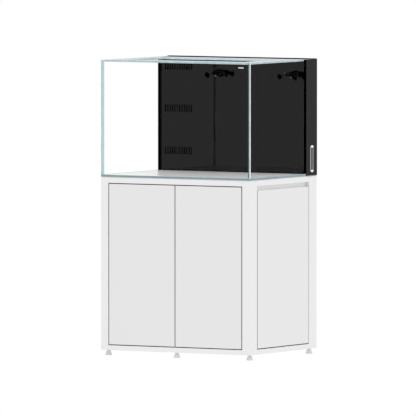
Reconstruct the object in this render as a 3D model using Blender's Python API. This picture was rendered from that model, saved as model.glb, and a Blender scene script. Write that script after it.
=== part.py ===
"""All-in-one glass aquarium with a black rear filter chamber, on a white cabinet stand.

The origin is on the floor under the middle of the stand: +X to the right, -Y to the
front, +Z up. Every size is in metres.
"""
from math import cos, pi, radians, sin

import bmesh
import bpy
from mathutils import Matrix, Vector

MM = 0.001
GAP = 0.3 * MM              # clearance left between pieces that touch

# Overall size
WIDTH = 900 * MM
DEPTH = 700 * MM
FOOT_HEIGHT = 28 * MM
STAND_TOP = 934 * MM        # top of the stand's frame above the floor
TANK_HEIGHT = 610 * MM      # floor glass to rim

# Stand
POST_X = 45 * MM            # post face width
POST_Y = 80 * MM            # post depth
RAIL_Y = 40 * MM            # depth of the front and rear rails
TUBE_WALL = 3 * MM
RAIL_LOW = 26.5 * MM        # height of the bottom rails
RAIL_HIGH = 29.5 * MM       # height of the top rails
PANEL = 18 * MM             # shelf, deck and side panel thickness
DOOR = 19 * MM
DOOR_GAP = 4 * MM
DOOR_BOTTOM = 58.5 * MM
DOOR_TOP = 900.5 * MM
PIVOT_INSET = 20 * MM       # door pivot pins, from the door's outer edge
FINGER_GAP = 23 * MM        # opening above each side panel
LIP = 3 * MM                # sheet closing that opening from behind

# Tank
MAT = 4 * MM
GLASS = 12 * MM
FLOOR_GLASS = 9 * MM
BRACE_GLASS = 10 * MM
BRACE_FRONT = 100 * MM
BRACE_SIDE = 88 * MM
WALL = 6 * MM               # black partition and dividers
CHAMBER = 112 * MM          # from the partition's face to the back of the tank
SKIN = 2 * MM               # black cladding around the chamber
LID = 3 * MM
LID_DROP = 2 * MM           # lid tops below the rim
UPSTAND = 2.5 * MM          # rear pane above the rim

HALF_X = WIDTH / 2
HALF_Y = DEPTH / 2
INNER_X = HALF_X - POST_X                   # inner face of posts and side rails
RAIL_BOTTOM_TOP = FOOT_HEIGHT + RAIL_LOW
RAIL_TOP_BOTTOM = STAND_TOP - RAIL_HIGH
SIDE_PANEL_TOP = RAIL_TOP_BOTTOM - FINGER_GAP
TANK_Z = STAND_TOP + MAT + GAP
RIM = TANK_Z + TANK_HEIGHT
GLASS_X = HALF_X - GLASS                    # inner faces of the side panes
FRONT_Y = -HALF_Y + GLASS                   # inner face of the front pane
BACK_Y = HALF_Y - SKIN - GAP                # outer face of the rear pane
REAR_Y = BACK_Y - GLASS                     # inner face of the rear pane
FLOOR_Z = TANK_Z + FLOOR_GLASS + GAP
WALL_Y = HALF_Y - CHAMBER                   # front face of the partition
WALL_TOP = RIM - LID_DROP - LID - GAP       # the lids rest on the partition and dividers
CHAMBER_Y = (WALL_Y + WALL + REAR_Y) / 2    # middle of the rear chamber

# Slots of the overflow
SLOT_ROWS = (28 * MM, 251 * MM, 474 * MM)   # row tops below the rim
SLOT_COUNT = 12
SLOT_PITCH = 14.5 * MM
SLOT_WIDTH = 7 * MM
SLOT_HEIGHT = 41 * MM
SLOT_FIRST = -HALF_X + 44.5 * MM

# Return line
RETURN_X = (-77 * MM, 386 * MM)             # where the two outlets pass the partition
RETURN_Z = RIM - 77 * MM
PIPE_R = 11 * MM
DIVIDER_X = (-150 * MM, 150 * MM)
CUP_X = -370 * MM
CUP_R = 38 * MM
SHELF_TOP = RIM - 100 * MM
PUMP_X = 205 * MM
PUMP_R = 32 * MM
PUMP_Z = FLOOR_Z + PUMP_R + 8 * MM

# Level window in the right cladding
WINDOW_Y = 298 * MM
WINDOW_Z = 1025.5 * MM
WINDOW_W = 39 * MM
WINDOW_H = 142 * MM
BEZEL = 14 * MM

# Ball-jointed nozzles
BALL = 12.5 * MM
MOUTH = 15.5 * MM
# Ball centres seen from the outlet's centre, and where each nozzle points.
NOZZLES = (
    ("left", "a", (-29, -42, -8), (-0.10, -0.98, -0.18), 29),
    ("left", "b", (30, -32, -2), (0.98, 0.0, -0.17), 36),
    ("right", "a", (-47, -38, -6), (-0.19, -0.96, -0.20), 38),
    ("right", "b", (27, -34, -3), (-0.10, -0.80, -0.60), 28),
)

MATERIALS = {}


# ---- helpers -------------------------------------------------------------------------

def clear_scene():
    for old in list(bpy.data.objects):
        bpy.data.objects.remove(old, do_unlink=True)


def material(name, colour, roughness=0.4, metallic=0.0, alpha=1.0):
    """Return the named Principled material, made on first use."""
    if name not in MATERIALS:
        made = bpy.data.materials.new(name)
        made.use_nodes = True
        shader = made.node_tree.nodes["Principled BSDF"]
        shader.inputs["Base Color"].default_value = (*colour, 1.0)
        shader.inputs["Roughness"].default_value = roughness
        shader.inputs["Metallic"].default_value = metallic
        shader.inputs["Alpha"].default_value = alpha
        made.diffuse_color = (*colour, alpha)
        MATERIALS[name] = made
    return MATERIALS[name]


def white_metal():
    return material("white_powder_coat", (0.84, 0.84, 0.84), 0.45)


def white_board():
    return material("white_board", (0.80, 0.80, 0.80), 0.35)


def clear_glass():
    return material("clear_glass", (0.72, 0.88, 0.88), 0.05, alpha=0.3)


def black_acrylic():
    return material("black_acrylic", (0.02, 0.02, 0.02), 0.12)


def black_plastic():
    return material("black_plastic", (0.015, 0.015, 0.015), 0.4)


def steel():
    return material("steel", (0.6, 0.6, 0.6), 0.3, metallic=1.0)


def piece(name, shape, finish, origin=(0, 0, 0), smooth=True):
    """Make an object from a bmesh in world coordinates, with its origin at a given point."""
    origin = Vector(origin)
    bmesh.ops.translate(shape, verts=shape.verts, vec=-origin)
    bmesh.ops.recalc_face_normals(shape, faces=shape.faces)
    mesh = bpy.data.meshes.new(name)
    shape.to_mesh(mesh)
    shape.free()
    if smooth:
        mesh.shade_smooth()
        mesh.set_sharp_from_angle(angle=radians(35))
    mesh.materials.append(finish)
    made = bpy.data.objects.new(name, mesh)
    made.location = origin
    bpy.context.scene.collection.objects.link(made)
    return made


def round_edges(target, width, segments=2):
    """Round the sharp edges with a Bevel modifier."""
    rounding = target.modifiers.new("Bevel", "BEVEL")
    rounding.width = width
    rounding.segments = segments
    rounding.limit_method = "ANGLE"
    rounding.angle_limit = radians(40)
    return target


def combine(target, tool, operation="DIFFERENCE"):
    """Cut a tool out of a piece, or join it to the piece, and hide the tool."""
    tool.hide_render = True
    tool.display_type = "WIRE"
    step = target.modifiers.new(operation.title(), "BOOLEAN")
    step.operation = operation
    step.solver = "EXACT"
    step.object = tool
    return target


def box(low, high):
    """Return a bmesh box between two corners."""
    shape = bmesh.new()
    bmesh.ops.create_cube(shape, size=1.0)
    low, high = Vector(low), Vector(high)
    size = Matrix.Diagonal((*(high - low), 1.0))
    shape.transform(Matrix.Translation((low + high) / 2) @ size)
    return shape


def box_piece(name, low, high, finish, edge=1 * MM, segments=2, origin=None):
    """Make a box with rounded edges as an object."""
    middle = (Vector(low) + Vector(high)) / 2
    made = piece(name, box(low, high), finish, middle if origin is None else origin)
    return round_edges(made, edge, segments) if edge else made


def on_axis(axis, u, v, w):
    """Place a profile point (u, v) at height w along the named axis."""
    return {"X": (w, u, v), "Y": (u, w, v), "Z": (u, v, w)}[axis]


def prism(outline, holes, axis, start, end):
    """Extrude an outline with holes along an axis, as one closed bmesh."""
    shape = bmesh.new()
    ends = []
    for w in (start, end):
        loops = []
        for points in (outline, *holes):
            loops.append([shape.verts.new(on_axis(axis, u, v, w)) for u, v in points])
        ends.append(loops)
    for near, far in zip(*ends):
        for i in range(len(near)):
            j = (i + 1) % len(near)
            shape.faces.new((near[i], near[j], far[j], far[i]))
    for loops in ends:
        rims = []
        for loop in loops:
            for i in range(len(loop)):
                rims.append(shape.edges.get((loop[i], loop[(i + 1) % len(loop)])))
        bmesh.ops.triangle_fill(shape, use_beauty=True, edges=rims)
    return shape


def rectangle(u0, u1, v0, v1):
    return [(u0, v0), (u1, v0), (u1, v1), (u0, v1)]


def rounded(u0, u1, v0, v1, radius, steps=4):
    """Outline of a rectangle with round corners, anticlockwise."""
    corners = ((u1, v0, -90), (u1, v1, 0), (u0, v1, 90), (u0, v0, 180))
    points = []
    for u, v, start in corners:
        cu = u - radius if u == u1 else u + radius
        cv = v - radius if v == v1 else v + radius
        for i in range(steps + 1):
            turn = radians(start + 90 * i / steps)
            points.append((cu + radius * cos(turn), cv + radius * sin(turn)))
    return points


def capsule(u, v, width, height, steps=6):
    """Outline of an upright slot with round ends."""
    half = (height - width) / 2
    points = []
    for centre, start in ((v + half, 0), (v - half, 180)):
        for i in range(steps + 1):
            turn = radians(start + 180 * i / steps)
            points.append((u + width / 2 * cos(turn), centre + width / 2 * sin(turn)))
    return points


def circle(u, v, radius, sides=24):
    return [(u + radius * cos(2 * pi * i / sides), v + radius * sin(2 * pi * i / sides))
            for i in range(sides)]


def turned(profile, centre, direction, sides=24):
    """Turn a (radius, height) profile about a line; ends with radius 0 are closed points."""
    shape = bmesh.new()
    rings = []
    for radius, height in profile:
        if radius == 0:
            rings.append([shape.verts.new((0, 0, height))])
        else:
            rings.append([shape.verts.new((u, v, height)) for u, v in circle(0, 0, radius, sides)])
    for low, high in zip(rings, rings[1:]):
        for i in range(sides):
            j = (i + 1) % sides
            corners = [low[i % len(low)], low[j % len(low)], high[j % len(high)], high[i % len(high)]]
            shape.faces.new(list(dict.fromkeys(corners)))
    turn = Vector(direction).to_track_quat("Z", "Y").to_matrix().to_4x4()
    shape.transform(Matrix.Translation(centre) @ turn)
    return shape


def rod(centre, direction, radius, start, end, sides=24):
    """A plain closed cylinder along a line, between two distances from its centre."""
    return turned([(0, start), (radius, start), (radius, end), (0, end)], centre, direction, sides)


# ---- stand ---------------------------------------------------------------------------

def foot_places():
    """Name, x, y and top of the stud of each levelling foot."""
    corner_x = HALF_X - POST_X / 2
    corner_y = HALF_Y - POST_Y / 2
    middle_y = HALF_Y - RAIL_Y / 2
    places = []
    for end, y_sign in (("front", -1), ("rear", 1)):
        for side, x_sign in (("left", -1), ("right", 1)):
            places.append((f"foot_{end}_{side}", x_sign * corner_x, y_sign * corner_y, 60 * MM))
        places.append((f"foot_{end}_middle", 0.0, y_sign * middle_y, 45 * MM))
    return places


def stud_hole(name, x, y):
    """Cutter for a foot's stud, through the bottom wall of a post or rail."""
    low = FOOT_HEIGHT - 5 * MM
    shape = rod((x, y, 0), (0, 0, 1), 5.6 * MM, low, FOOT_HEIGHT + 10 * MM, 16)
    return piece(name, shape, steel(), (x, y, 0))


def make_feet():
    finish = material("foot_plastic", (0.62, 0.62, 0.62), 0.4)
    for name, x, y, top in foot_places():
        collar = FOOT_HEIGHT - GAP
        profile = [(0, 0), (17 * MM, 0), (18 * MM, 1 * MM), (18 * MM, 4 * MM),
                   (12 * MM, 20 * MM), (11.5 * MM, 21 * MM), (9 * MM, 21 * MM),
                   (9 * MM, collar), (5 * MM, collar), (5 * MM, top - 1 * MM),
                   (4 * MM, top), (0, top)]
        piece(name, turned(profile, (x, y, 0), (0, 0, 1)), finish, (x, y, 0))


def make_posts():
    """Four full-height box posts, closed at the top and drilled for a foot below."""
    for end, y_sign in (("front", -1), ("rear", 1)):
        for side, x_sign in (("left", -1), ("right", 1)):
            xs = sorted((x_sign * INNER_X, x_sign * HALF_X))
            ys = sorted((y_sign * (HALF_Y - POST_Y), y_sign * HALF_Y))
            low = Vector((xs[0], ys[0], FOOT_HEIGHT))
            high = Vector((xs[1], ys[1], STAND_TOP))
            name = f"post_{end}_{side}"
            post = box_piece(name, low, high, white_metal(), 1.5 * MM)
            inset = Vector((TUBE_WALL,) * 3)
            hollow = piece("hollow_" + name, box(low + inset, high - inset), white_metal())
            combine(post, hollow)
            middle = (low + high) / 2
            combine(post, stud_hole("drill_" + name, middle.x, middle.y))


def make_long_rails():
    """Front and rear rails, butted between the posts."""
    for end, y_sign in (("front", -1), ("rear", 1)):
        y0, y1 = sorted((y_sign * HALF_Y, y_sign * (HALF_Y - RAIL_Y)))
        for level, z0, z1 in (("bottom", FOOT_HEIGHT, RAIL_BOTTOM_TOP),
                              ("top", RAIL_TOP_BOTTOM, STAND_TOP)):
            name = f"rail_{end}_{level}"
            outline = rounded(y0, y1, z0, z1, 1.5 * MM, 2)
            bore = rectangle(y0 + TUBE_WALL, y1 - TUBE_WALL, z0 + TUBE_WALL, z1 - TUBE_WALL)
            shape = prism(outline, [bore], "X", -INNER_X + GAP, INNER_X - GAP)
            rail = piece(name, shape, white_metal(), (0, (y0 + y1) / 2, z0))
            if level == "bottom":
                combine(rail, stud_hole("drill_" + name, 0, (y0 + y1) / 2))


def make_side_rails():
    """Side rails; the top ones carry the lip behind the finger opening."""
    end = HALF_Y - POST_Y - GAP
    for side, x_sign in (("left", -1), ("right", 1)):
        x0, x1 = sorted((x_sign * INNER_X, x_sign * HALF_X))
        bore = rectangle(x0 + TUBE_WALL, x1 - TUBE_WALL,
                         FOOT_HEIGHT + TUBE_WALL, RAIL_BOTTOM_TOP - TUBE_WALL)
        shape = prism(rounded(x0, x1, FOOT_HEIGHT, RAIL_BOTTOM_TOP, 1.5 * MM, 2),
                      [bore], "Y", -end, end)
        piece(f"rail_{side}_bottom", shape, white_metal(), (x_sign * HALF_X, 0, FOOT_HEIGHT))

        lip_bottom = SIDE_PANEL_TOP - 20 * MM
        lip_face = HALF_X - PANEL - GAP
        inner, back, face, outer = (x_sign * x for x in (INNER_X, lip_face - LIP, lip_face, HALF_X))
        outline = [(inner, STAND_TOP), (outer, STAND_TOP), (outer, RAIL_TOP_BOTTOM),
                   (face, RAIL_TOP_BOTTOM), (face, lip_bottom), (back, lip_bottom),
                   (back, RAIL_TOP_BOTTOM), (inner, RAIL_TOP_BOTTOM)]
        bore = rectangle(x0 + TUBE_WALL, x1 - TUBE_WALL,
                         RAIL_TOP_BOTTOM + TUBE_WALL, STAND_TOP - TUBE_WALL)
        shape = prism(outline, [bore], "Y", -end, end)
        rail = piece(f"rail_{side}_top", shape, white_metal(), (x_sign * HALF_X, 0, STAND_TOP))
        round_edges(rail, 1 * MM)


def make_panels():
    """Shelf, deck, back and the two pull-off side panels."""
    reach_x = INNER_X - GAP
    reach_y = HALF_Y - RAIL_Y - GAP
    box_piece("base_shelf", (-reach_x, -reach_y, RAIL_BOTTOM_TOP - PANEL),
              (reach_x, reach_y, RAIL_BOTTOM_TOP), white_board())
    box_piece("deck_panel", (-reach_x, -reach_y, STAND_TOP - PANEL),
              (reach_x, reach_y, STAND_TOP), white_board())

    back = [rounded(-160 * MM, 160 * MM, 480 * MM, 760 * MM, 30 * MM, 6)]
    outline = rectangle(-reach_x, reach_x, RAIL_BOTTOM_TOP + GAP, RAIL_TOP_BOTTOM - GAP)
    shape = prism(outline, back, "Y", HALF_Y - 14 * MM, HALF_Y - 4 * MM)
    piece("rear_panel", shape, white_board(), (0, HALF_Y - 4 * MM, 0))

    reach_y = HALF_Y - POST_Y - DOOR_GAP
    for side, x_sign in (("left", -1), ("right", 1)):
        x0, x1 = sorted((x_sign * (HALF_X - PANEL), x_sign * HALF_X))
        low = (x0, -reach_y, DOOR_BOTTOM)
        high = (x1, reach_y, SIDE_PANEL_TOP)
        box_piece(f"side_panel_{side}", low, high, white_board(), 1.5 * MM)


def make_doors():
    """Two flush doors, each drilled for a pivot pin at the top and the bottom."""
    front = -HALF_Y
    pivot_y = front + DOOR / 2
    outer = INNER_X - DOOR_GAP
    inner = DOOR_GAP / 2
    for side, x_sign in (("left", -1), ("right", 1)):
        x0, x1 = sorted((x_sign * inner, x_sign * outer))
        pivot_x = x_sign * (outer - PIVOT_INSET)
        name = f"door_{side}"
        finish = material("door_lacquer", (0.80, 0.80, 0.80), 0.25)
        door = box_piece(name, (x0, front, DOOR_BOTTOM), (x1, front + DOOR, DOOR_TOP),
                         finish, 1.5 * MM, 3, (pivot_x, pivot_y, DOOR_BOTTOM))
        for level, z in (("bottom", DOOR_BOTTOM), ("top", DOOR_TOP)):
            shape = rod((pivot_x, pivot_y, z), (0, 0, 1), 4.3 * MM, -12 * MM, 12 * MM, 16)
            combine(door, piece(f"socket_{name}_{level}", shape, steel()))


def make_door_pins():
    """Four pivot pins with washers, fixed to the front rails."""
    pivot_x = INNER_X - DOOR_GAP - PIVOT_INSET
    pivot_y = -HALF_Y + DOOR / 2
    washer = DOOR_BOTTOM - RAIL_BOTTOM_TOP - GAP
    profile = [(0, GAP), (8 * MM, GAP), (8 * MM, washer), (4 * MM, washer),
               (4 * MM, washer + 10 * MM), (0, washer + 10 * MM)]
    for side, x in (("left", -pivot_x), ("right", pivot_x)):
        for level, z, way in (("bottom", RAIL_BOTTOM_TOP, 1), ("top", RAIL_TOP_BOTTOM, -1)):
            place = (x, pivot_y, z)
            piece(f"door_pin_{side}_{level}", turned(profile, place, (0, 0, way), 16), steel(), place)


def make_latches():
    """Double push-to-open latch behind the meeting edges of the doors."""
    back = -HALF_Y + DOOR + GAP
    axis_z = RAIL_TOP_BOTTOM - 9 * MM
    reach = 30 * MM
    finish = material("grey_plastic", (0.35, 0.35, 0.36), 0.4)
    outline = rounded(-reach - 9 * MM, reach + 9 * MM, axis_z - 8 * MM, RAIL_TOP_BOTTOM - GAP, 2 * MM, 2)
    bores = [circle(x, axis_z, 4.5 * MM, 16) for x in (-reach, reach)]
    shape = prism(outline, bores, "Y", back + 5 * MM, back + 60 * MM)
    piece("latch_housing", shape, finish, (0, back + 5 * MM, axis_z))
    profile = [(0, 0), (3 * MM, 0), (4 * MM, 1 * MM), (4 * MM, 45 * MM), (0, 45 * MM)]
    for side, x in (("left", -reach), ("right", reach)):
        place = (x, back, axis_z)
        piece(f"latch_plunger_{side}", turned(profile, place, (0, 1, 0), 16), finish, place)


# ---- tank ----------------------------------------------------------------------------

def make_mat():
    inset = 1 * MM
    finish = material("foam_mat", (0.05, 0.06, 0.06), 0.9)
    box_piece("levelling_mat", (-HALF_X + inset, -HALF_Y + inset, STAND_TOP + GAP),
              (HALF_X - inset, HALF_Y - inset, STAND_TOP + MAT), finish, 0)


def make_panes():
    """Floor and four walls of the tank, with seamed edges; the black rear one stands proud."""
    seam = 0.8 * MM
    glass = clear_glass()
    box_piece("tank_floor_pane", (-HALF_X, -HALF_Y, TANK_Z),
              (HALF_X, BACK_Y, TANK_Z + FLOOR_GLASS), glass, seam, 1)
    box_piece("tank_front_pane", (-HALF_X, -HALF_Y, FLOOR_Z),
              (HALF_X, FRONT_Y, RIM), glass, seam, 1)
    box_piece("tank_rear_pane", (-HALF_X, REAR_Y, FLOOR_Z),
              (HALF_X, BACK_Y, RIM + UPSTAND), black_acrylic(), seam, 1)
    for side, x_sign in (("left", -1), ("right", 1)):
        x0, x1 = sorted((x_sign * GLASS_X, x_sign * HALF_X))
        box_piece(f"tank_{side}_pane", (x0, FRONT_Y + GAP, FLOOR_Z),
                  (x1, REAR_Y - GAP, RIM), glass, seam, 1)


def make_braces():
    """Four flat glass strips around the open top, flush with the rim."""
    z0 = RIM - BRACE_GLASS
    front = FRONT_Y + BRACE_FRONT
    rear = WALL_Y - BRACE_FRONT
    strips = {
        "brace_front": ((-GLASS_X + GAP, FRONT_Y + GAP), (GLASS_X - GAP, front)),
        "brace_rear": ((-GLASS_X + GAP, rear), (GLASS_X - GAP, WALL_Y - GAP)),
        "brace_left": ((-GLASS_X + GAP, front + GAP), (-GLASS_X + BRACE_SIDE, rear - GAP)),
        "brace_right": ((GLASS_X - BRACE_SIDE, front + GAP), (GLASS_X - GAP, rear - GAP)),
    }
    for name, (low, high) in strips.items():
        box_piece(name, (*low, z0), (*high, RIM), clear_glass(), 0.8 * MM, 1)


def make_wall():
    """Partition with three rows of overflow slots and two return holes."""
    holes = []
    for top in SLOT_ROWS:
        middle = RIM - top - SLOT_HEIGHT / 2
        for i in range(SLOT_COUNT):
            holes.append(capsule(SLOT_FIRST + i * SLOT_PITCH, middle, SLOT_WIDTH, SLOT_HEIGHT, 4))
    for x in RETURN_X:
        holes.append(circle(x, RETURN_Z, PIPE_R + GAP))
    outline = rectangle(-GLASS_X + GAP, GLASS_X - GAP, FLOOR_Z, WALL_TOP)
    shape = prism(outline, holes, "Y", WALL_Y, WALL_Y + WALL)
    piece("partition_wall", shape, black_acrylic(), (0, WALL_Y, FLOOR_Z))


def make_dividers():
    """Two baffles with flow windows; the one beside the overflow carries the cup's shelf."""
    y0, y1 = WALL_Y + WALL + GAP, REAR_Y - GAP
    left, right = DIVIDER_X
    upright = rectangle(y0, y1, FLOOR_Z, WALL_TOP)
    window = (CHAMBER_Y - 28 * MM, CHAMBER_Y + 28 * MM)
    over = rounded(*window, FLOOR_Z + 330 * MM, FLOOR_Z + 400 * MM, 8 * MM)
    pipe = circle(CHAMBER_Y, RETURN_Z, PIPE_R + 1.5 * MM)
    shape = prism(upright, [over, pipe], "X", right - WALL / 2, right + WALL / 2)
    piece("pump_divider", shape, black_acrylic(), (right, y0, FLOOR_Z))

    under = rounded(*window, FLOOR_Z + 15 * MM, FLOOR_Z + 75 * MM, 8 * MM)
    shape = prism(upright, [under], "X", left - WALL / 2, left + WALL / 2)
    baffle = piece("overflow_baffle", shape, black_acrylic(), (left, y0, FLOOR_Z))
    bypass = rectangle(CUP_X + 70 * MM, left - 25 * MM, CHAMBER_Y - 30 * MM, CHAMBER_Y + 30 * MM)
    holes = [circle(CUP_X, CHAMBER_Y, CUP_R + 1 * MM, 32), bypass]
    shelf = prism(rectangle(-GLASS_X + GAP, left, y0, y1), holes, "Z", SHELF_TOP - WALL, SHELF_TOP)
    combine(baffle, piece("guide_cup_shelf", shelf, black_acrylic()), "UNION")


def make_cladding():
    """Black skin wrapped around the chamber, cut on the right for the level window."""
    x0, x1 = HALF_X + GAP, HALF_X + GAP + SKIN
    y0, y1 = BACK_Y + GAP, HALF_Y
    outline = [(-x1, WALL_Y), (-x0, WALL_Y), (-x0, y0), (x0, y0),
               (x0, WALL_Y), (x1, WALL_Y), (x1, y1), (-x1, y1)]
    wrap = piece("chamber_cladding", prism(outline, [], "Z", TANK_Z, RIM), black_acrylic(),
                 (0, y1, TANK_Z))
    hole = window_ring(GAP, HALF_X - SKIN, x1 + SKIN)
    combine(wrap, piece("cut_level_window", hole, black_acrylic()))


def window_ring(offset, start, end, holes=()):
    """The level window's outline, grown by an offset and extruded along X."""
    outline = capsule(WINDOW_Y, WINDOW_Z, WINDOW_W + 2 * offset, WINDOW_H + 2 * offset, 12)
    return prism(outline, holes, "X", start, end)


def make_window():
    """Sight window for the chamber's water level: a bezel set in the cladding, and its lens."""
    inner = HALF_X + GAP
    opening = capsule(WINDOW_Y, WINDOW_Z, WINDOW_W - 2 * BEZEL, WINDOW_H - 2 * BEZEL, 12)
    ring = window_ring(0, inner, inner + SKIN + 0.6 * MM, [opening])
    finish = material("satin_metal", (0.7, 0.7, 0.7), 0.3, metallic=1.0)
    bezel = piece("level_window_bezel", ring, finish, (inner, WINDOW_Y, WINDOW_Z))
    round_edges(bezel, 0.5 * MM, 1)
    lens = window_ring(-BEZEL - GAP, inner, inner + 1.2 * MM)
    finish = material("smoked_lens", (0.25, 0.27, 0.27), 0.1)
    piece("level_window_lens", lens, finish, (inner, WINDOW_Y, WINDOW_Z))


def make_lids():
    """Two lift-off lids let in between the side panes, each notched for cables at the back."""
    z0 = WALL_TOP + GAP
    notch = (25 * MM, 12 * MM)
    for side, x_sign in (("left", -1), ("right", 1)):
        x0, x1 = sorted((x_sign * 1 * MM, x_sign * (GLASS_X - 0.5 * MM)))
        y0, y1 = WALL_Y, REAR_Y - 0.5 * MM
        middle = (x0 + x1) / 2
        outline = [(x0, y0), (x1, y0), (x1, y1), (middle + notch[0], y1),
                   (middle + notch[0], y1 - notch[1]), (middle - notch[0], y1 - notch[1]),
                   (middle - notch[0], y1), (x0, y1)]
        lid = piece(f"rear_lid_{side}", prism(outline, [], "Z", z0, z0 + LID),
                    black_acrylic(), (middle, (y0 + y1) / 2, z0))
        round_edges(lid, 0.5 * MM, 2)


def make_filter_cup():
    """Filter cup that hangs by its flange in the baffle's shelf."""
    depth = 160 * MM
    wall = 2.5 * MM
    flange = CUP_R + 5 * MM
    profile = [(0, -depth), (CUP_R, -depth), (CUP_R, GAP), (flange, GAP), (flange, 4 * MM),
               (CUP_R - wall, 4 * MM), (CUP_R - wall, wall - depth), (0, wall - depth)]
    place = (CUP_X, CHAMBER_Y, SHELF_TOP)
    piece("filter_cup", turned(profile, place, (0, 0, 1), 32), black_plastic(), place)


# ---- return line ---------------------------------------------------------------------

def make_pump():
    """Submersible pump on the chamber floor, with its impeller in an open volute."""
    centre = (PUMP_X, CHAMBER_Y, PUMP_Z)
    bore = PUMP_R - 6 * MM
    profile = [(0, -18 * MM), (bore, -18 * MM), (bore, -45 * MM), (PUMP_R, -45 * MM),
               (PUMP_R, 40 * MM), (PUMP_R - 6 * MM, 46 * MM), (0, 46 * MM)]
    pump = piece("return_pump", turned(profile, centre, (1, 0, 0), 32), black_plastic(), centre)
    sole = box((PUMP_X - 42 * MM, CHAMBER_Y - 26 * MM, FLOOR_Z),
               (PUMP_X + 42 * MM, CHAMBER_Y + 26 * MM, PUMP_Z - PUMP_R + 4 * MM))
    combine(pump, piece("guide_pump_sole", sole, black_plastic()), "UNION")
    outlet = rod((PUMP_X, CHAMBER_Y, PUMP_Z), (0, 0, 1), PIPE_R + 3 * MM,
                 PUMP_R - 8 * MM, PUMP_R + 22 * MM)
    combine(pump, piece("guide_pump_outlet", outlet, black_plastic()), "UNION")

    hub = [(0, -42 * MM), (5 * MM, -42 * MM), (7 * MM, -26 * MM), (21 * MM, -24 * MM),
           (21 * MM, -21 * MM), (0, -21 * MM)]
    impeller = piece("pump_impeller", turned(hub, centre, (1, 0, 0), 24),
                     material("impeller_plastic", (0.55, 0.55, 0.56), 0.4), centre)
    for i in range(6):
        blade = box((-40 * MM, -1.2 * MM, 2 * MM), (-22 * MM, 1.2 * MM, 20 * MM))
        blade.transform(Matrix.Translation(centre) @ Matrix.Rotation(i * pi / 3 + 0.2, 4, "X"))
        combine(impeller, piece(f"guide_blade_{i}", blade, black_plastic()), "UNION")


def make_manifold():
    """Riser from the pump and the cross pipe behind the partition, with two spigots."""
    foot = PUMP_Z + PUMP_R + 22 * MM + GAP
    riser = rod((PUMP_X, CHAMBER_Y, 0), (0, 0, 1), PIPE_R, foot, RETURN_Z)
    pipe = piece("return_manifold", riser, black_plastic(), (PUMP_X, CHAMBER_Y, RETURN_Z))
    left, right = RETURN_X
    cross = rod((0, CHAMBER_Y, RETURN_Z), (1, 0, 0), PIPE_R + 0.5 * MM,
                left - 14 * MM, right + 14 * MM)
    combine(pipe, piece("guide_cross_pipe", cross, black_plastic()), "UNION")
    for i, x in enumerate(RETURN_X):
        spigot = rod((x, 0, RETURN_Z), (0, 1, 0), PIPE_R, WALL_Y - 14 * MM, CHAMBER_Y)
        combine(pipe, piece(f"guide_spigot_{i}", spigot, black_plastic()), "UNION")


def nozzle_profile(length):
    """A ball, a neck and a flared open mouth, along the nozzle's axis."""
    steps = 6
    points = [(0, -BALL)]
    for i in range(1, steps):
        turn = radians(-90 + 135 * i / steps)
        points.append((BALL * cos(turn), BALL * sin(turn)))
    neck = 9.5 * MM
    points += [(neck, 9 * MM), (neck, length * 0.5), (neck + 1.8 * MM, length * 0.72),
               (MOUTH, length - 2 * MM), (MOUTH, length), (MOUTH - 2.5 * MM, length),
               (neck - 1 * MM, length * 0.66), (0, length * 0.6)]
    return points


def make_returns():
    """Y splitters that turn on the spigots, each with two ball-jointed nozzles."""
    for side, x in zip(("left", "right"), RETURN_X):
        centre = Vector((x, WALL_Y, RETURN_Z))
        bore = PIPE_R + GAP
        face = -5.5 * MM
        collar = [(0, -16 * MM), (bore, -16 * MM), (bore, face), (15 * MM, face),
                  (15 * MM, -24 * MM), (13 * MM, -44 * MM), (9 * MM, -48 * MM), (0, -48 * MM)]
        splitter = piece(f"return_splitter_{side}", turned(collar, centre, (0, 1, 0), 24),
                         black_plastic(), centre)
        for owner, letter, ball, aim, length in NOZZLES:
            if owner != side:
                continue
            joint = centre + Vector(ball) * MM
            start = centre + Vector((0, -34 * MM, 0))
            arm = joint - start
            shape = rod(start, arm, 10 * MM, 0, arm.length - BALL - 0.5 * MM, 20)
            guide = piece(f"guide_arm_{side}_{letter}", shape, black_plastic())
            combine(splitter, guide, "UNION")
            nozzle = turned(nozzle_profile(length * MM), joint, aim, 24)
            piece(f"nozzle_{side}_{letter}", nozzle, black_plastic(), joint)


def build():
    clear_scene()
    make_feet()
    make_posts()
    make_long_rails()
    make_side_rails()
    make_panels()
    make_doors()
    make_door_pins()
    make_latches()
    make_mat()
    make_panes()
    make_braces()
    make_wall()
    make_dividers()
    make_cladding()
    make_window()
    make_lids()
    make_filter_cup()
    make_pump()
    make_manifold()
    make_returns()


build()
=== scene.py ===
"""Looks of the aquarium on its stand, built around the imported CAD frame."""
from math import cos, pi, radians, sin

import bmesh
import bpy
from mathutils import Matrix, Vector


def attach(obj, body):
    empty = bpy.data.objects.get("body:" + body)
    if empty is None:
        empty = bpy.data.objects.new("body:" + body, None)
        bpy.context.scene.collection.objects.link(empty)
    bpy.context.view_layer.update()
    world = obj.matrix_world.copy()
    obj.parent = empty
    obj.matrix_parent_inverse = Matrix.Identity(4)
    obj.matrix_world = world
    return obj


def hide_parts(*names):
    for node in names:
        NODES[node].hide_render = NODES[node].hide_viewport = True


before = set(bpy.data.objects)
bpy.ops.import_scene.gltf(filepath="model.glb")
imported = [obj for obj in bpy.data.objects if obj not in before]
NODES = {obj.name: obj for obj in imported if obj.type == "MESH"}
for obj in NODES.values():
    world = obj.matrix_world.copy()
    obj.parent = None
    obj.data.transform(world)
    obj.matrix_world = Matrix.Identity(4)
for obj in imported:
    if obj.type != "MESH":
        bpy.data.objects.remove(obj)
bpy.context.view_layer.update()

MM = 0.001

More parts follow.
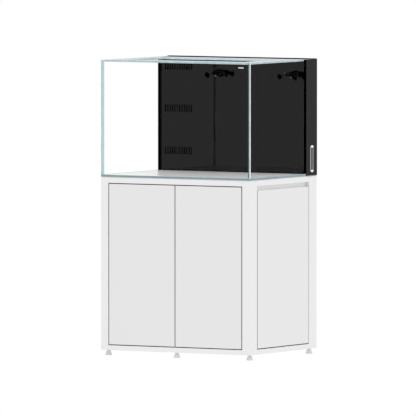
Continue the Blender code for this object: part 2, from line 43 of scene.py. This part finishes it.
# Sizes shared with the CAD part
HALF_X = 450 * MM
FRONT = -350 * MM
RIM = 1548.3 * MM
GLASS = 12 * MM
FLOOR_Z = 947.6 * MM                        # top of the tank's floor pane
GLASS_X = HALF_X - GLASS
WALL_Y = 238 * MM
WALL_TOP = RIM - 5.3 * MM
RETURN_X = {"left": -77 * MM, "right": 386 * MM}
RETURN_Z = RIM - 77 * MM
PIPE_R = 11 * MM
BALL = 12.5 * MM
MOUTH = 15.5 * MM
GAUGE_Y = 298 * MM
GAUGE_Z = 1025.5 * MM
DOOR_INNER = 2 * MM                         # door edges from the middle of the stand
DOOR_OUTER = 401 * MM
DOOR_TOP = 900.5 * MM
PANEL_HALF = 266 * MM                       # half the length of a side panel
PANEL_TOP = 881.5 * MM
LEAF_BOTTOM = 58.5 * MM                     # bottom of doors and side panels
REAR_FACE = 346 * MM                        # outer face of the rear panel
FOOT_PLACES = (("left", -427.5, 310, 60), ("middle", 0, 330, 45), ("right", 427.5, 310, 60))
NOZZLES = (
    ("left", "a", (-29, -42, -8), (-0.10, -0.98, -0.18), 29),
    ("left", "b", (30, -32, -2), (0.98, 0.0, -0.17), 36),
    ("right", "a", (-47, -38, -6), (-0.19, -0.96, -0.20), 38),
    ("right", "b", (27, -34, -3), (-0.10, -0.80, -0.60), 28),
)

# Camera: a long lens, a little above the middle of the object
AZIMUTH = radians(30.44)
ELEVATION = radians(2.904)
DISTANCE = 51.83
LENS = 855.9
AIM = Vector((0.0012, -0.0118, 0.7687))


# ---- node helpers --------------------------------------------------------------------

class Shader:
    """A node material under construction: a Principled shader with object coordinates."""

    def __init__(self, name):
        self.material = bpy.data.materials.new(name)
        self.material.use_nodes = True
        self.tree = self.material.node_tree
        self.surface = self.tree.nodes["Principled BSDF"]
        self.output = self.tree.nodes["Material Output"]
        self.place = self.add("ShaderNodeTexCoord").outputs["Object"]

    def add(self, kind, inputs=None, **settings):
        node = self.tree.nodes.new(kind)
        for key, value in settings.items():
            setattr(node, key, value)
        for key, value in (inputs or {}).items():
            self.feed(node.inputs[key], value)
        return node

    def feed(self, socket, value):
        if isinstance(value, bpy.types.NodeSocket):
            self.tree.links.new(value, socket)
        else:
            socket.default_value = value

    def set(self, **values):
        """Set Principled sockets by name, with underscores for spaces."""
        for key, value in values.items():
            if key == "Base_Color" and isinstance(value, tuple):
                value = (*value, 1.0)
            self.feed(self.surface.inputs[key.replace("_", " ")], value)

    def noise(self, scale, detail=3.0, roughness=0.5, stretch=None):
        where = self.place
        if stretch:
            mapping = self.add("ShaderNodeMapping", {"Vector": where, "Scale": stretch})
            where = mapping.outputs["Vector"]
        inputs = {"Vector": where, "Scale": scale, "Detail": detail, "Roughness": roughness}
        return self.add("ShaderNodeTexNoise", inputs).outputs["Fac"]

    def ramp(self, factor, low, high, start=0.0, end=1.0):
        """Map a factor onto a pair of numbers."""
        node = self.add("ShaderNodeMapRange", {"Value": factor, "From Min": start, "From Max": end,
                                               "To Min": low, "To Max": high})
        return node.outputs["Result"]

    def blend(self, factor, first, second):
        """Mix two colours."""
        node = self.add("ShaderNodeMix", data_type="RGBA")
        self.feed(node.inputs[0], factor)
        for socket, colour in ((node.inputs[6], first), (node.inputs[7], second)):
            self.feed(socket, (*colour, 1.0) if isinstance(colour, tuple) else colour)
        return node.outputs[2]

    def math(self, operation, first, second=0.0):
        node = self.add("ShaderNodeMath", operation=operation)
        self.feed(node.inputs[0], first)
        self.feed(node.inputs[1], second)
        return node.outputs[0]

    def bump(self, height, distance):
        node = self.add("ShaderNodeBump", {"Height": height, "Distance": distance, "Strength": 1.0})
        self.feed(self.surface.inputs["Normal"], node.outputs["Normal"])


def powder_coat(name, colour, roughness, peel):
    """Satin powder coat: faint orange peel, cloudy tone and worn-smooth patches."""
    made = Shader(name)
    cloud = made.noise(6.0, 4.0)
    dark = tuple(c * 0.985 for c in colour)
    made.set(Base_Color=made.blend(cloud, dark, colour),
             Roughness=made.ramp(made.noise(18.0, 3.0), roughness - 0.05, roughness + 0.05))
    made.set(Specular_IOR_Level=0.4)
    fine = made.noise(900.0, 2.0)
    coarse = made.noise(260.0, 1.0)
    made.bump(made.math("ADD", fine, coarse), peel)
    return made.material


def black_sheet(name, colour, roughness, level):
    """Polished black acrylic with faint polishing haze and dust."""
    made = Shader(name)
    haze = made.noise(9.0, 5.0, 0.6)
    made.set(Base_Color=made.blend(haze, tuple(c * 0.9 for c in colour), colour),
             Roughness=made.ramp(haze, roughness, roughness + 0.03, 0.4, 0.8),
             Specular_IOR_Level=level)
    made.bump(made.noise(30.0, 2.0), 0.02 * MM)
    return made.material


def moulded(name, colour, roughness, grain=0.03 * MM, level=0.5):
    """Moulded plastic with a fine spark-eroded grain."""
    made = Shader(name)
    tone = made.noise(40.0, 3.0)
    made.set(Base_Color=made.blend(tone, tuple(c * 0.85 for c in colour), colour),
             Roughness=made.ramp(made.noise(120.0, 2.0), roughness - 0.06, roughness + 0.06),
             Specular_IOR_Level=level)
    made.bump(made.noise(1400.0, 2.0), grain)
    return made.material


def metal(name, colour, roughness):
    """Satin metal, brushed along Z."""
    made = Shader(name)
    grain = made.noise(300.0, 3.0, 0.6, (1.0, 1.0, 0.02))
    made.set(Base_Color=made.blend(grain, tuple(c * 0.9 for c in colour), colour),
             Metallic=1.0, Roughness=made.ramp(grain, roughness - 0.06, roughness + 0.08))
    made.bump(grain, 0.01 * MM)
    return made.material


def clear_face(name, tint, haze=0.004):
    """Clear glass or silicone that is seen straight through, with a tint and a faint haze."""
    made = Shader(name)
    made.tree.nodes.remove(made.surface)
    smear = made.ramp(made.noise(7.0, 4.0, 0.6, (1.0, 1.0, 0.4)), 0.0, 1.0, 0.5, 0.8)
    colour = made.blend(smear, tint, tuple(c * (1.0 - haze) for c in tint))
    clear = made.add("ShaderNodeBsdfTransparent", {"Color": colour})
    made.feed(made.output.inputs["Surface"], clear.outputs[0])
    return made.material


def glossy_face(name):
    """Clear glass seen from above: see-through, with a gloss that grows at grazing angles."""
    made = Shader(name)
    made.tree.nodes.remove(made.surface)
    clear = made.add("ShaderNodeBsdfTransparent", {"Color": (1.0, 1.0, 1.0, 1.0)})
    waviness = made.add("ShaderNodeBump", {"Height": made.noise(4.0, 1.0), "Distance": 0.02 * MM})
    gloss = made.add("ShaderNodeBsdfGlossy", {"Roughness": 0.0,
                                              "Normal": waviness.outputs["Normal"]})
    fresnel = made.add("ShaderNodeFresnel", {"IOR": 1.45})
    mix = made.add("ShaderNodeMixShader")
    made.feed(mix.inputs[0], made.math("MINIMUM", fresnel.outputs[0], 0.8))
    made.feed(mix.inputs[1], clear.outputs[0])
    made.feed(mix.inputs[2], gloss.outputs[0])
    made.feed(made.output.inputs["Surface"], mix.outputs[0])
    return made.material


def floor_face(name, colour):
    """Floor glass top: an opaque, pale, slightly glossy face whose pale colour is a painted
    reflection, with faint dust.
    """
    made = Shader(name)
    dust = made.noise(14.0, 5.0, 0.6)
    made.set(Base_Color=made.blend(dust, tuple(c * 0.96 for c in colour), colour),
             Roughness=made.ramp(dust, 0.27, 0.30))
    return made.material


def matte_black(name, colour):
    """Black silicone, foam or sawn acrylic that hardly reflects."""
    made = Shader(name)
    ripple = made.noise(60.0, 2.0)
    made.set(Base_Color=made.blend(ripple, tuple(c * 0.8 for c in colour), colour),
             Roughness=0.6, Specular_IOR_Level=0.05)
    made.bump(ripple, 0.05 * MM)
    return made.material


def gauge_frame(name):
    """Level gauge frame: a semi-gloss guard with a lighter front edge and white ends, both painted
    highlights, and a dark band beside the lens and a black rear edge, both painted shade.
    """
    made = Shader(name)
    split = made.add("ShaderNodeSeparateXYZ", {"Vector": made.place})
    along = made.math("SUBTRACT", split.outputs["Y"], GAUGE_Y)
    height = made.math("ABSOLUTE", made.math("SUBTRACT", split.outputs["Z"], GAUGE_Z))
    # white ends of the gauge: painted highlight
    painted_end_highlight = made.ramp(height, 0.0, 1.0, 58.5 * MM, 59.5 * MM)
    # lighter front edge: painted highlight
    painted_lip_highlight = made.ramp(along, 1.0, 0.0, -12 * MM, -11 * MM)
    # dark band beside the lens: painted shade
    from_painted_groove = made.math("ABSOLUTE", made.math("ADD", along, 8 * MM))
    painted_groove_shade = made.ramp(from_painted_groove, 1.0, 0.0, 3.5 * MM, 4.5 * MM)
    # black rear edge: painted shade
    rear = made.ramp(along, 0.0, 1.0, 13.5 * MM, 14.5 * MM)
    grain = made.noise(300.0, 3.0, 0.6, (1.0, 1.0, 0.02))
    guard = made.blend(grain, (0.19, 0.19, 0.195), (0.25, 0.25, 0.255))
    guard = made.blend(painted_lip_highlight, guard, (0.36, 0.36, 0.36))
    guard = made.blend(painted_groove_shade, guard, (0.01, 0.01, 0.01))
    guard = made.blend(painted_end_highlight, guard, (0.86, 0.86, 0.86))
    made.set(Base_Color=made.blend(rear, guard, (0.03, 0.03, 0.03)), Roughness=0.4,
             Specular_IOR_Level=0.2)
    made.bump(grain, 0.01 * MM)
    return made.material


def pane_edge(name, colour):
    """Polished edge of a pane: teal depth that light scatters out of, under a gloss."""
    made = Shader(name)
    streak = made.noise(30.0, 3.0, 0.5)
    deep = tuple(c * 0.82 for c in colour)
    made.set(Base_Color=made.blend(made.ramp(streak, 0.0, 1.0, 0.35, 0.65), deep, colour),
             Roughness=0.12, Coat_Weight=0.3)
    made.bump(made.noise(500.0, 2.0), 0.01 * MM)
    return made.material


def foam(name, colour):
    """Closed-cell foam."""
    made = Shader(name)
    cells = made.add("ShaderNodeTexVoronoi", {"Vector": made.place, "Scale": 700.0})
    made.set(Base_Color=made.blend(cells.outputs["Distance"], tuple(c * 0.8 for c in colour), colour),
             Roughness=0.9)
    made.bump(cells.outputs["Distance"], 0.2 * MM)
    return made.material


# ---- materials on the CAD nodes ------------------------------------------------------

def dress(names, material):
    for name in names:
        slots = NODES[name].data.materials
        slots.clear()
        slots.append(material)


def dress_sides(name, finish, *sides):
    """One finish all over, and others on the sides that look along the given directions."""
    mesh = NODES[name].data
    mesh.materials.clear()
    for made in (finish, *(side[0] for side in sides)):
        mesh.materials.append(made)
    for polygon in mesh.polygons:
        polygon.material_index = 0
        for i, (_, *directions) in enumerate(sides, 1):
            if any(polygon.normal.dot(Vector(way)) > 0.6 for way in directions):
                polygon.material_index = i


def dress_all():
    white = (0.835, 0.835, 0.835)
    dress([n for n in NODES if n.startswith(("post_", "rail_"))],
          powder_coat("frame_powder_coat", white, 0.42, 0.02 * MM))
    dress(["door_left", "door_right"],
          powder_coat("door_lacquer", (0.79, 0.79, 0.79), 0.30, 0.008 * MM))
    dress(["side_panel_left", "side_panel_right", "rear_panel", "base_shelf", "deck_panel"],
          powder_coat("panel_laminate", (0.80, 0.80, 0.80), 0.38, 0.012 * MM))
    dress([n for n in NODES if n.startswith("door_pin_")], metal("pin_steel", (0.6, 0.6, 0.61), 0.3))
    dress(["latch_housing", "latch_plunger_left", "latch_plunger_right"],
          moulded("latch_plastic", (0.35, 0.35, 0.36), 0.4))
    dress(["levelling_mat"], foam("foam_mat", (0.55, 0.57, 0.57)))

    left, right, front, rear, up = (-1, 0, 0), (1, 0, 0), (0, -1, 0), (0, 1, 0), (0, 0, 1)
    face = clear_face("glass_face", (1.0, 1.0, 1.0))
    flat = glossy_face("brace_face")
    joint = clear_face("glass_joint", (0.46, 0.61, 0.64), 0.05)
    edge = pane_edge("glass_edge", (0.56, 0.72, 0.77))
    # front pane's left and right edge faces: a lighter copy of the edge colour, painted highlight at
    # the corners
    painted_highlight_edge = pane_edge("corner_glass_edge_painted_highlight", (0.80, 0.93, 0.97))
    # floor pane's edge faces: a darker copy of the edge colour, painted shade where the tank meets the
    # stand
    painted_shade_edge = pane_edge("floor_glass_edge_painted_shade", (0.20, 0.33, 0.36))
    dress_sides("tank_front_pane", joint, (face, front, rear), (edge, up), (painted_highlight_edge, left, right))
    for name in ("tank_left_pane", "tank_right_pane"):
        dress_sides(name, joint, (face, left, right), (edge, up))
    bonded = pane_edge("bonded_glass_edge", (0.55, 0.69, 0.73))
    for name, opening, *outer in (
            ("brace_front", rear, front, left, right), ("brace_rear", front, rear, left, right),
            ("brace_left", right, left), ("brace_right", left, right)):
        dress_sides(name, joint, (flat, up, (0, 0, -1)), (edge, opening), (bonded, *outer))
    # floor pane's top: opaque and pale, a painted reflection in place of clear glass over the mat
    dress_sides("tank_floor_pane", painted_shade_edge, (floor_face("floor_glass", (0.955, 0.955, 0.955)), up))

    wall = black_sheet("black_wall", (0.0015, 0.0015, 0.0015), 0.01, 0.24)
    cut = matte_black("sawn_black", (0.001, 0.001, 0.001))
    dress_sides("partition_wall", cut, (wall, front, rear))
    dress(["overflow_baffle", "pump_divider"], cut)
    dress(["tank_rear_pane"], black_sheet("black_glass", (0.003, 0.003, 0.003), 0.02, 0.25))
    dress(["rear_lid_left", "rear_lid_right"], black_sheet("black_lid", (0.01, 0.01, 0.01), 0.02, 0.5))
    dress(["chamber_cladding"], black_sheet("black_cladding", (0.003, 0.003, 0.003), 0.12, 0.10))
    dress(["level_window_lens"], black_sheet("smoked_lens", (0.09, 0.09, 0.09), 0.05, 0.2))
    dress(["level_window_bezel"], gauge_frame("gauge_frame"))
    dress(["return_pump", "return_manifold", "filter_cup"],
          moulded("pump_plastic", (0.006, 0.006, 0.006), 0.35, level=0.2))
    dress(["pump_impeller"], moulded("impeller_plastic", (0.5, 0.5, 0.5), 0.4))


# ---- pieces added to the CAD ---------------------------------------------------------

def show(name, shape, finishes, body):
    """Turn a bmesh in world coordinates into a piece that rides on a body."""
    bmesh.ops.recalc_face_normals(shape, faces=shape.faces)
    mesh = bpy.data.meshes.new(name)
    shape.to_mesh(mesh)
    shape.free()
    mesh.shade_smooth()
    mesh.set_sharp_from_angle(angle=radians(40))
    for finish in finishes if isinstance(finishes, tuple) else (finishes,):
        mesh.materials.append(finish)
    made = bpy.data.objects.new(name, mesh)
    bpy.context.scene.collection.objects.link(made)
    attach(made, body)
    return made


SIDES = 64


def turned(profile, centre, direction, sides=SIDES, shape=None, ripple=0.0, lobes=0):
    """Turn a (radius, height) profile about a line. A third value in a point gives it grip ribs."""
    shape = shape or bmesh.new()
    turn = Matrix.Translation(centre) @ Vector(direction).to_track_quat("Z", "Y").to_matrix().to_4x4()
    rings = []
    for radius, height, *rib in profile:
        ring = []
        for i in range(sides if radius else 1):
            angle = 2 * pi * i / sides
            r = radius + (ripple * cos(lobes * angle) if rib else 0.0)
            ring.append(shape.verts.new(turn @ Vector((r * cos(angle), r * sin(angle), height))))
        rings.append(ring)
    for low, high in zip(rings, rings[1:]):
        for i in range(sides):
            j = (i + 1) % sides
            corners = [low[i % len(low)], low[j % len(low)], high[j % len(high)], high[i % len(high)]]
            shape.faces.new(list(dict.fromkeys(corners)))
    return shape


def strip(outline, axis, start, end, shape=None):
    """Extrude a small outline along an axis."""
    shape = shape or bmesh.new()
    place = {"X": lambda u, v, w: (w, u, v), "Y": lambda u, v, w: (u, w, v),
             "Z": lambda u, v, w: (u, v, w)}[axis]
    ends = [[shape.verts.new(place(u, v, w)) for u, v in outline] for w in (start, end)]
    for loop in ends:
        shape.faces.new(loop)
    for i in range(len(outline)):
        j = (i + 1) % len(outline)
        shape.faces.new((ends[0][i], ends[0][j], ends[1][j], ends[1][i]))
    return shape


def fillet(u, v, reach_u, reach_v, steps=6):
    """Outline of a hollow bead in the corner (u, v), reaching along both of its sides."""
    points = [(u, v)]
    for i in range(steps + 1):
        turn = pi / 2 * i / steps
        points.append((u + reach_u * (1 - sin(turn)), v + reach_v * (1 - cos(turn))))
    return points


def add_beads():
    """Black beads between partition and side panes; in the display's corners a clear bead on the left
    and a dark teal one on the right, which is painted shade.
    """
    black = matte_black("black_silicone", (0.001, 0.001, 0.001))
    clear = clear_face("clear_silicone", (0.86, 0.91, 0.92), 0.05)
    # right corner bead: dark teal, painted shade in the front-right corner
    corner_bead_painted_shade = pane_edge("corner_silicone_painted_shade", (0.10, 0.13, 0.14))
    front = FRONT + GLASS
    for side, sign, reach, depth, corner in (("left", -1, 8 * MM, 3.5 * MM, clear),
                                             ("right", 1, 0.8 * MM, 0.8 * MM, corner_bead_painted_shade)):
        x = sign * (GLASS_X - 0.1 * MM)
        bead = strip(fillet(x, WALL_Y - 0.1 * MM, -sign * reach, -depth), "Z",
                     FLOOR_Z, WALL_TOP - 8 * MM)
        show(f"bead_wall_{side}", bead, black, "stand_and_tank")
        bead = strip(fillet(x, front + 0.1 * MM, -sign * 3 * MM, 3 * MM), "Z", FLOOR_Z, RIM - 11 * MM)
        show(f"bead_corner_{side}", bead, corner, "stand_and_tank")
    foot = strip(fillet(WALL_Y - 0.1 * MM, FLOOR_Z, -4 * MM, 3.5 * MM), "X",
                 -GLASS_X + 1 * MM, GLASS_X - 1 * MM)
    show("bead_wall_foot", foot, black, "stand_and_tank")


def add_gap_shade():
    """Black strips on the edges of the doors and side panels, set back from the face: painted shade
    for the shadow in the gaps round them.
    """
    # black strips in the gaps: painted gap shadow
    gap_shade_black = matte_black("gap_painted_shade", (0.004, 0.004, 0.004))
    side_thick, end_thick = 1.6 * MM, 3.2 * MM
    side_depth, end_depth = (0.8 * MM, 17 * MM), (0.4 * MM, 1.6 * MM)
    for name, body, axis, face, inward, left, right, top in (
            ("door_left", "left_door", "Y", FRONT, 1, -DOOR_OUTER, -DOOR_INNER, DOOR_TOP),
            ("door_right", "right_door", "Y", FRONT, 1, DOOR_INNER, DOOR_OUTER, DOOR_TOP),
            ("side_panel_left", "left_side_panel", "X", -HALF_X, 1, -PANEL_HALF, PANEL_HALF, None),
            ("side_panel_right", "right_side_panel", "X", HALF_X, -1, -PANEL_HALF, PANEL_HALF, None)):
        sides_top = top or PANEL_TOP
        pieces = [(left - side_thick, LEAF_BOTTOM, left, sides_top, side_depth),
                  (right, LEAF_BOTTOM, right + side_thick, sides_top, side_depth),
                  (left, LEAF_BOTTOM - end_thick, right, LEAF_BOTTOM, end_depth)]
        if top:
            pieces.append((left, top, right, top + end_thick, end_depth))
        gap_shade = bmesh.new()
        for u0, z0, u1, z1, depth in pieces:
            start, end = sorted(face + inward * d for d in depth)
            strip([(u0, z0), (u1, z0), (u1, z1), (u0, z1)], axis, start, end, gap_shade)
        show(f"seal_{name}", gap_shade, gap_shade_black, body)


def refinish(shape, sides, first, last):
    """Give the second finish to some of a turned shape's bands, counted along its profile."""
    shape.faces.ensure_lookup_table()
    for face in shape.faces[first * sides:last * sides]:
        face.material_index = 1


def ball_nozzle(length):
    """Profile of a ball, a ribbed neck and a flared hollow mouth."""
    steps = 12
    points = [(0, -BALL)]
    for i in range(1, steps):
        turn = radians(-90 + 135 * i / steps)
        points.append((BALL * cos(turn), BALL * sin(turn)))
    neck = 9.5 * MM
    points += [(neck, 9 * MM), (neck, length * 0.34), (neck + 0.7 * MM, length * 0.35),
               (neck + 0.7 * MM, length * 0.47), (neck, length * 0.48), (neck, length * 0.5),
               (neck + 0.8 * MM, length * 0.62), (neck + 1.8 * MM, length * 0.72),
               (neck + 3.4 * MM, length * 0.82), (MOUTH - 0.5 * MM, length - 3 * MM),
               (MOUTH, length - 2.2 * MM), (MOUTH, length - 0.4 * MM), (MOUTH - 0.4 * MM, length),
               (MOUTH - 1.6 * MM, length), (MOUTH - 2.2 * MM, length - 0.6 * MM),
               (neck + 2 * MM, length * 0.8), (neck - 1.5 * MM, length * 0.6),
               (neck - 2.5 * MM, length * 0.2), (0, length * 0.18)]
    return points


def add_returns():
    """Bulkhead nuts, splitters and ball nozzles with their ring nuts."""
    plastic = moulded("return_plastic", (0.001, 0.001, 0.001), 0.14, 0.005 * MM, 0.045)
    # nozzle a outsides and their ring nuts: a lighter, glossier copy of the black plastic, painted
    # sheen
    sheen_painted_plastic = moulded("return_plastic_painted_sheen", (0.022, 0.022, 0.022), 0.3, 0.01 * MM, 0.15)
    # small light part under each hub: painted highlight where the hub catches a glint
    painted_glint_grey = moulded("glint_plug_painted_highlight", (0.11, 0.11, 0.11), 0.3, 0.01 * MM)
    for side, x in RETURN_X.items():
        centre = Vector((x, WALL_Y, RETURN_Z))
        inner = PIPE_R + 0.2 * MM
        nut = turned([(inner, -0.2 * MM), (19 * MM, -0.2 * MM), (19 * MM, -1.6 * MM),
                      (16.5 * MM, -2 * MM, 1), (16.5 * MM, -4.6 * MM, 1), (15 * MM, -5.2 * MM),
                      (inner, -5.2 * MM), (inner, -0.2 * MM)],
                     centre, (0, 1, 0), 72, ripple=0.6 * MM, lobes=12)
        show(f"bulkhead_nut_{side}", nut, plastic, "stand_and_tank")

        bore = PIPE_R + 0.3 * MM
        body = turned([(0, -16 * MM), (bore, -16 * MM), (bore, -5.6 * MM), (15 * MM, -5.6 * MM),
                       (15.6 * MM, -6.4 * MM, 1), (15.6 * MM, -15 * MM, 1), (14.6 * MM, -16 * MM),
                       (14.6 * MM, -24 * MM), (13.2 * MM, -26 * MM), (13.2 * MM, -46 * MM),
                       (12.2 * MM, -48 * MM), (10 * MM, -48 * MM), (9.4 * MM, -46.6 * MM),
                       (8 * MM, -46.6 * MM), (7.4 * MM, -48.4 * MM), (4 * MM, -49.6 * MM),
                       (0, -50 * MM)],
                      centre, (0, 1, 0), 72, ripple=0.5 * MM, lobes=18)
        for owner, letter, ball, aim, length in NOZZLES:
            if owner != side:
                continue
            joint = centre + Vector(ball) * MM
            start = centre + Vector((0, -36 * MM if letter == "a" else -24 * MM, 0))
            arm = joint - start
            reach = arm.length - BALL - 2 * MM
            turned([(0, 0), (7.8 * MM, 0), (7.8 * MM, reach), (0, reach)], start, arm, 48, body)
            grip = BALL + 1.4 * MM
            outside = sheen_painted_plastic if letter == "a" else plastic
            nut = turned([(BALL + 0.25 * MM, -1.5 * MM), (grip - 0.4 * MM, -1.5 * MM),
                          (grip, -2 * MM, 1), (grip, -9.5 * MM, 1), (grip - 1.5 * MM, -11 * MM),
                          (9.5 * MM, -13.2 * MM), (6 * MM, -11.2 * MM), (10.2 * MM, -7.6 * MM),
                          (12.2 * MM, -3.6 * MM), (BALL + 0.25 * MM, -1.5 * MM)],
                         joint, arm, 72, ripple=0.35 * MM, lobes=24)
            show(f"ring_nut_{side}_{letter}", nut, outside, f"{side}_splitter")
            profile = ball_nozzle(length * MM)
            nozzle = turned(profile, joint, aim)
            refinish(nozzle, SIDES, len(profile) - 7, len(profile))
            made = show(f"visual_nozzle_{side}_{letter}", nozzle, (outside, plastic),
                        f"{side}_nozzle_{letter}")
            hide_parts(f"nozzle_{side}_{letter}")
        # turned part below each hub, coloured as a painted highlight
        glint_plug = turned([(0, 12 * MM), (3 * MM, 12 * MM), (3 * MM, 13.6 * MM), (4.6 * MM, 14.2 * MM),
                       (5 * MM, 15 * MM, 1), (5 * MM, 20.5 * MM, 1), (4.2 * MM, 21.4 * MM),
                       (2 * MM, 21.4 * MM), (1.6 * MM, 20.4 * MM), (0, 20.4 * MM)],
                      centre + Vector((1.5, -43, 0)) * MM, (0, 0, -1), 48, ripple=0.3 * MM, lobes=12)
        show(f"splitter_glint_plug_{side}", glint_plug, painted_glint_grey, f"{side}_splitter")
        made = show(f"visual_splitter_{side}", body, plastic, f"{side}_splitter")
        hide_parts(f"return_splitter_{side}")


def add_feet():
    """Levelling feet with a ribbed collar and a threaded stud."""
    pad = moulded("foot_plastic", (0.74, 0.74, 0.73), 0.4)
    for end, y_sign in (("front", -1), ("rear", 1)):
        for place, x, y, top in FOOT_PLACES:
            profile = [(0, 0), (17 * MM, 0), (18 * MM, 1 * MM), (18 * MM, 3.4 * MM),
                       (17.2 * MM, 4.6 * MM), (15 * MM, 9 * MM, 1), (13 * MM, 15 * MM, 1),
                       (12 * MM, 20 * MM), (11.5 * MM, 21 * MM), (9 * MM, 21 * MM),
                       (9 * MM, 27.7 * MM), (5 * MM, 27.7 * MM)]
            height, thread_pitch = 28.5, 1.25
            while height < top - 2:
                profile += [(5 * MM, height * MM), (4.4 * MM, (height + 0.6) * MM)]
                height += thread_pitch
            profile += [(4 * MM, top * MM), (0, top * MM)]
            where = (x * MM, y_sign * y * MM, 0)
            foot = turned(profile, where, (0, 0, 1), 64, ripple=0.5 * MM, lobes=16)
            made = show(f"visual_foot_{end}_{place}", foot, pad, f"{end}_{place}_foot")
            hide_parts(f"foot_{end}_{place}")


def add_badge():
    """Plain raised bar on the front pane."""
    x, z = 398 * MM, RIM - 27 * MM
    half_x, half_z, corner = 16 * MM, 3 * MM, 1.5 * MM
    outline = []
    for sx, sz, start in ((1, -1, -90), (1, 1, 0), (-1, 1, 90), (-1, -1, 180)):
        for i in range(5):
            turn = radians(start + 22.5 * i)
            outline.append((x + sx * (half_x - corner) + corner * cos(turn),
                            z + sz * (half_z - corner) + corner * sin(turn)))
    bar = strip(outline, "Y", FRONT - 0.5 * MM, FRONT - 0.1 * MM)
    show("badge_bar", bar, powder_coat("badge_white", (0.72, 0.72, 0.72), 0.35, 0.005 * MM),
         "stand_and_tank")


def add_screws():
    """Countersunk screws around the rear panel."""
    steel = metal("screw_steel", (0.55, 0.55, 0.56), 0.3)
    heads = bmesh.new()
    for x in (-385, -128, 128, 385):
        for z in (70, 480, 890):
            if z == 480 and abs(x) < 200:       # clear of the pipe cut-out
                continue
            turned([(4.2 * MM, 0), (4.0 * MM, 0.6 * MM), (2.0 * MM, 0.9 * MM), (1.8 * MM, -0.6 * MM),
                    (0, -0.9 * MM)], (x * MM, REAR_FACE, z * MM), (0, 1, 0), 24, heads)
    show("rear_panel_screws", heads, steel, "stand_and_tank")


# ---- stage ---------------------------------------------------------------------------

def make_floor():
    size = 120.0
    mesh = bpy.data.meshes.new("studio_floor")
    corners = [(-size, -size, 0), (size, -size, 0), (size, size, 0), (-size, size, 0)]
    mesh.from_pydata(corners, [], [(0, 1, 2, 3)])
    floor = bpy.data.objects.new("studio_floor", mesh)
    bpy.context.scene.collection.objects.link(floor)
    floor.location.z = -0.0005
    made = Shader("floor_paper")
    made.set(Base_Color=(0.0, 0.0, 0.0), Roughness=1.0, Specular_IOR_Level=0.0,
             Emission_Color=(1.0, 1.0, 1.0, 1.0), Emission_Strength=1.0)
    mesh.materials.append(made.material)


def make_world():
    world = bpy.data.worlds.new("studio")
    world.use_nodes = True
    background = world.node_tree.nodes["Background"]
    background.inputs["Color"].default_value = (1.0, 1.0, 1.0, 1.0)
    background.inputs["Strength"].default_value = 1.0
    bpy.context.scene.world = world
    bpy.context.scene.view_settings.view_transform = "Standard"


def make_camera():
    data = bpy.data.cameras.new("camera")
    data.sensor_width = 36.0
    data.lens = LENS
    data.clip_start = 1.0
    data.clip_end = 500.0
    camera = bpy.data.objects.new("camera", data)
    away = Vector((sin(AZIMUTH) * cos(ELEVATION), -cos(AZIMUTH) * cos(ELEVATION), sin(ELEVATION)))
    camera.location = AIM + away * DISTANCE
    camera.rotation_euler = away.to_track_quat("Z", "Y").to_euler()
    bpy.context.scene.collection.objects.link(camera)
    bpy.context.scene.camera = camera


dress_all()
add_beads()
add_gap_shade()
add_returns()
add_feet()
add_badge()
add_screws()
make_floor()
make_world()
make_camera()
